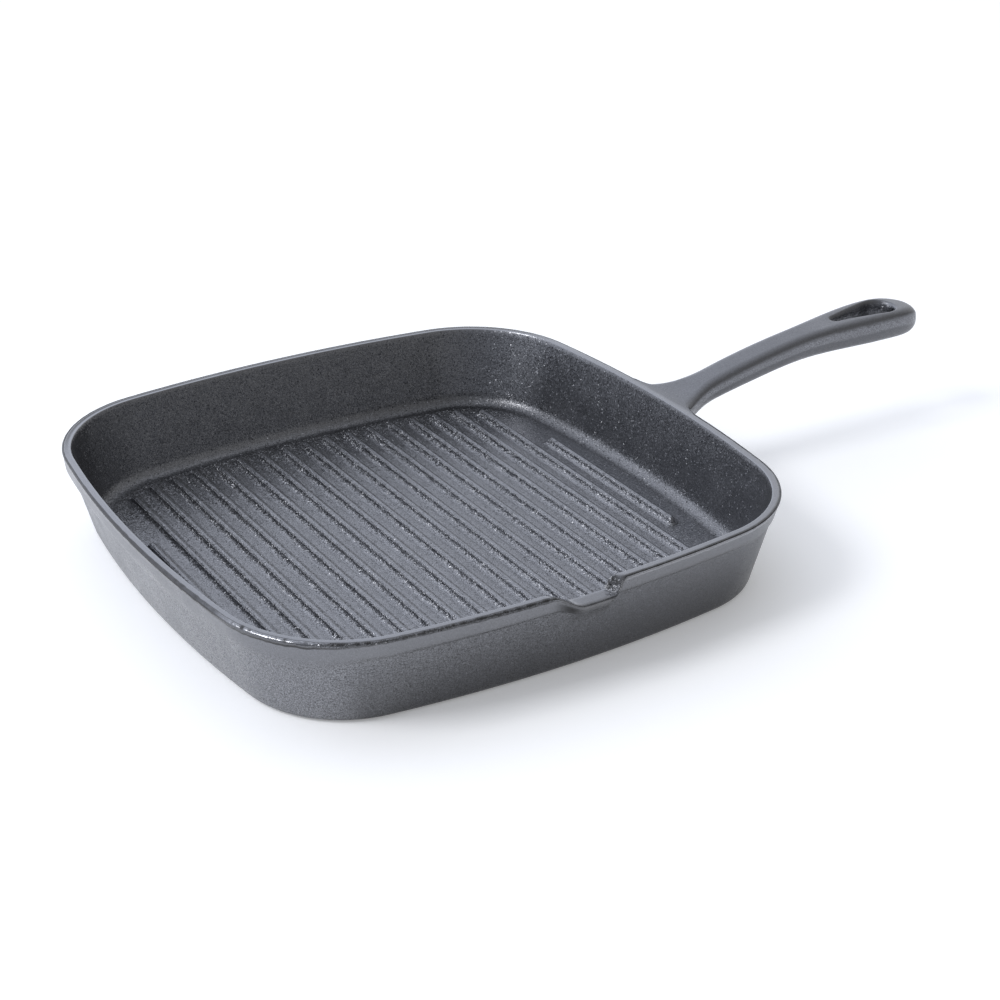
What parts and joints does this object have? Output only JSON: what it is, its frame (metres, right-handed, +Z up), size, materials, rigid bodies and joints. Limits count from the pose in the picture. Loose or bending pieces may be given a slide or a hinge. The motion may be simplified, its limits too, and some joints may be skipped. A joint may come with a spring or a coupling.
{
  "type": "square cast iron grill pan",
  "caption": "Square cast iron grill pan with rounded corners, raised parallel ribs, a pour spout in one wall and a long rising handle that ends in a teardrop hanging eye",
  "frame": {"origin": "centre of the flat underside of the pan body, where it rests on the hob", "axes": "+X along the handle, +Z up out of the pan, -Y towards the wall with the pour spout"},
  "size_m": [0.406, 0.2625, 0.0579],
  "materials": {
    "cast_iron": "sand-cast and seasoned, satin, ground smooth on the rim",
    "rib_iron": "sand-cast and seasoned, smooth crests and rough flanks"
  },
  "bodies": {
    "root": {"base_plate": "cast_iron", "wall_left": "cast_iron", "wall_far": "cast_iron", "wall_handle": "cast_iron", "wall_spout": "cast_iron", "handle": "cast_iron", "hanging_loop": "cast_iron", "rib_01": "rib_iron", "rib_02": "rib_iron", "rib_03": "rib_iron", "rib_04": "rib_iron", "rib_05": "rib_iron", "rib_06": "rib_iron", "rib_07": "rib_iron", "rib_08": "rib_iron", "rib_09": "rib_iron", "rib_10": "rib_iron", "rib_11": "rib_iron", "rib_12": "rib_iron", "rib_13": "rib_iron", "rib_14": "rib_iron", "rib_15": "rib_iron", "rib_16": "rib_iron", "rib_17": "rib_iron", "rib_18": "rib_iron", "rib_19": "rib_iron"}
  },
  "joints": []
}
